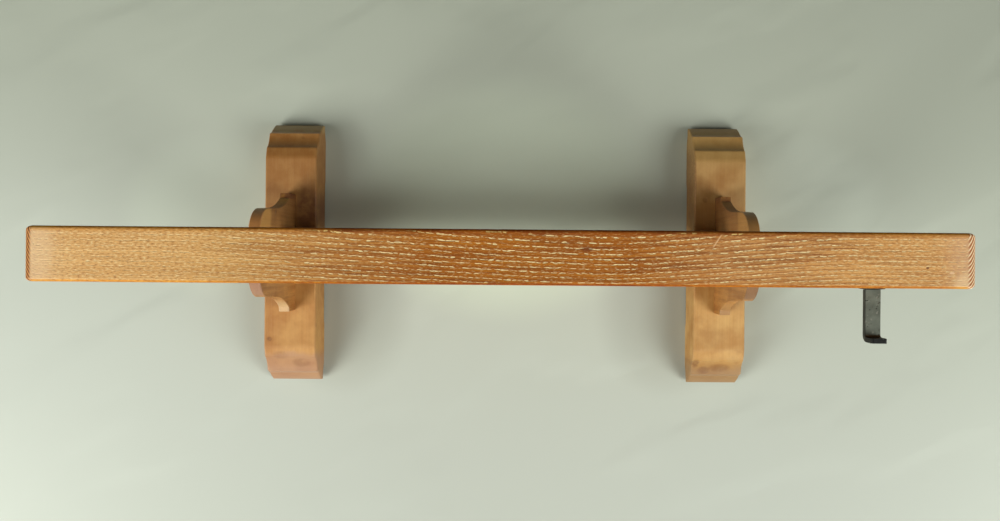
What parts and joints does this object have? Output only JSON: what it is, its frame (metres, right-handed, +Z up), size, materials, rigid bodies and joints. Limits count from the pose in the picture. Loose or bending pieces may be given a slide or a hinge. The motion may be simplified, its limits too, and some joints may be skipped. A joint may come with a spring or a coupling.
{
  "type": "loom",
  "caption": "Upright wooden table loom: trestle frame with shaped feet and brackets, long top beam, ratcheted warp and cloth rollers, and an iron hook.",
  "frame": {"origin": "on the floor, midway between the feet and midway along them", "axes": "+X to the right along the top beam, +Y to the rear, +Z up; the weaver sits on the -Y side"},
  "size_m": [0.784, 0.388, 0.616],
  "materials": {
    "beam_wood": "worn oiled ring-porous hardwood with pale pores",
    "foot_wood": "worn oiled hardwood",
    "post_wood": "worn oiled hardwood",
    "bracket_wood": "worn oiled hardwood",
    "roller_wood": "turned hardwood, hand-polished",
    "knob_wood": "turned hardwood, hand-polished",
    "rod_wood": "plain split hardwood rod",
    "peg_wood": "dark hardwood",
    "forged_iron": "hand-forged, dark and pitted",
    "ratchet_iron": "dark iron, teeth worn bright",
    "screw_iron": "dull slotted screw",
    "spacer_brass": "tarnished"
  },
  "bodies": {
    "frame": {"top_beam": "beam_wood", "stretcher": "post_wood", "stretcher_wedges": "peg_wood", "beam_pegs": "peg_wood", "foot_pegs": "peg_wood", "hook": "forged_iron", "hook_washer": "forged_iron", "pawl_screws": "screw_iron", "pawl_spacers": "spacer_brass", "foot_left": "foot_wood", "post_left": "post_wood", "bracket_front_left": "bracket_wood", "bracket_rear_left": "bracket_wood", "foot_right": "foot_wood", "post_right": "post_wood", "bracket_front_right": "bracket_wood", "bracket_rear_right": "bracket_wood"},
    "warp_roller": {"warp_roller": "roller_wood", "warp_rod": "rod_wood", "warp_ratchet": "ratchet_iron", "warp_knob": "knob_wood", "warp_knob_pin": "peg_wood"},
    "warp_pawl": {"warp_pawl": "ratchet_iron"},
    "cloth_roller": {"cloth_roller": "roller_wood", "cloth_rod": "rod_wood", "cloth_ratchet": "ratchet_iron", "cloth_knob": "knob_wood", "cloth_knob_pin": "peg_wood"},
    "cloth_pawl": {"cloth_pawl": "ratchet_iron"}
  },
  "joints": [
    {"name": "warp_roller_turn", "type": "hinge", "parent": "frame", "child": "warp_roller", "pos_m": [0, 0, 0.5], "axis": [1, 0, 0], "continuous": true},
    {"name": "warp_pawl_lift", "type": "hinge", "parent": "frame", "child": "warp_pawl", "pos_m": [0.34, 0.00158, 0.53265], "axis": [1, 0, 0], "range_deg": [0, 50]},
    {"name": "cloth_roller_turn", "type": "hinge", "parent": "frame", "child": "cloth_roller", "pos_m": [0, 0, 0.142], "axis": [1, 0, 0], "continuous": true},
    {"name": "cloth_pawl_lift", "type": "hinge", "parent": "frame", "child": "cloth_pawl", "pos_m": [0.34, 0.00158, 0.17466], "axis": [1, 0, 0], "range_deg": [0, 50]}
  ]
}
